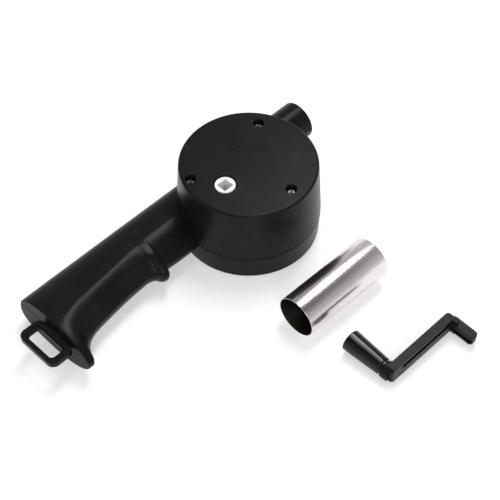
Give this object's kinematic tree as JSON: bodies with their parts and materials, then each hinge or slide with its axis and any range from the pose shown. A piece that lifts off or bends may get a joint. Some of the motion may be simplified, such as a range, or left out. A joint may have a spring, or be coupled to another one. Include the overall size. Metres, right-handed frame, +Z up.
{
  "type": "hand-cranked barbecue blower",
  "caption": "Black hand-cranked barbecue blower: round geared fan housing with pistol grip, strap ring and spout, a loose steel nozzle pipe and a loose crank with a turning knob.",
  "frame": {"origin": "on the base plane, under the axis of the drum and of the fan", "axes": "+X along the spout, so the handle points to -X; +Z up through the drum, with the intake in the base"},
  "size_m": [0.2545, 0.2164, 0.0575],
  "materials": {
    "black_abs": "black ABS, fine satin mould texture",
    "crank_plastic": "charcoal filled nylon, satin",
    "knob_plastic": "polished black plastic",
    "white_nylon": "natural white nylon, lightly glossy",
    "fan_plastic": "black moulded plastic",
    "bright_steel": "thin bright-plated steel pipe",
    "steel": "zinc-plated steel",
    "bronze": "sintered bronze"
  },
  "bodies": {
    "housing": {"gear_cover": "black_abs", "upper_shell": "black_abs", "lower_shell": "black_abs", "hanging_loop": "black_abs", "idler_pin": "steel", "drive_washer": "steel", "idler_washer": "steel", "floor_bush": "bronze", "tail_bush": "bronze", "cover_screw_1": "steel", "cover_screw_2": "steel", "cover_screw_3": "steel", "shell_screw_1": "steel", "shell_screw_2": "steel", "shell_screw_3": "steel", "shell_screw_4": "steel", "shell_screw_5": "steel"},
    "fan": {"impeller": "fan_plastic", "fan_shaft": "steel", "fan_pinion": "white_nylon", "impeller_clip": "steel"},
    "drive": {"drive_gear": "white_nylon"},
    "idler": {"idler_gear": "white_nylon"},
    "tube": {"nozzle_tube": "bright_steel"},
    "crank": {"crank_arm": "crank_plastic", "knob_screw": "steel"},
    "knob": {"crank_knob": "knob_plastic"}
  },
  "joints": [
    {"name": "impeller_spin", "type": "hinge", "parent": "housing", "child": "fan", "pos_m": [0, 0, 0.03], "axis": [0, 0, 1], "continuous": true},
    {"name": "drive_spin", "type": "hinge", "parent": "housing", "child": "drive", "pos_m": [-0.02331, -0.0026, 0.045], "axis": [0, 0, 1], "continuous": true},
    {"name": "idler_spin", "type": "hinge", "parent": "housing", "child": "idler", "pos_m": [-0.01367, 0.01673, 0.038], "axis": [0, 0, 1], "continuous": true},
    {"name": "tube_lift", "type": "slide", "parent": "housing", "child": "tube", "axis": [0, 0, 1], "range_m": [0, 0.12]},
    {"name": "crank_lift", "type": "slide", "parent": "housing", "child": "crank", "axis": [0, 0, 1], "range_m": [0, 0.12]},
    {"name": "knob_spin", "type": "hinge", "parent": "crank", "child": "knob", "pos_m": [-0.0273, -0.1463, 0.00642], "axis": [0, 0.9996, 0.0292], "continuous": true}
  ],
  "couplings": [
    {"joint": "idler_spin", "follows": "impeller_spin", "ratio": -0.28571},
    {"joint": "drive_spin", "follows": "impeller_spin", "ratio": 0.081633}
  ]
}
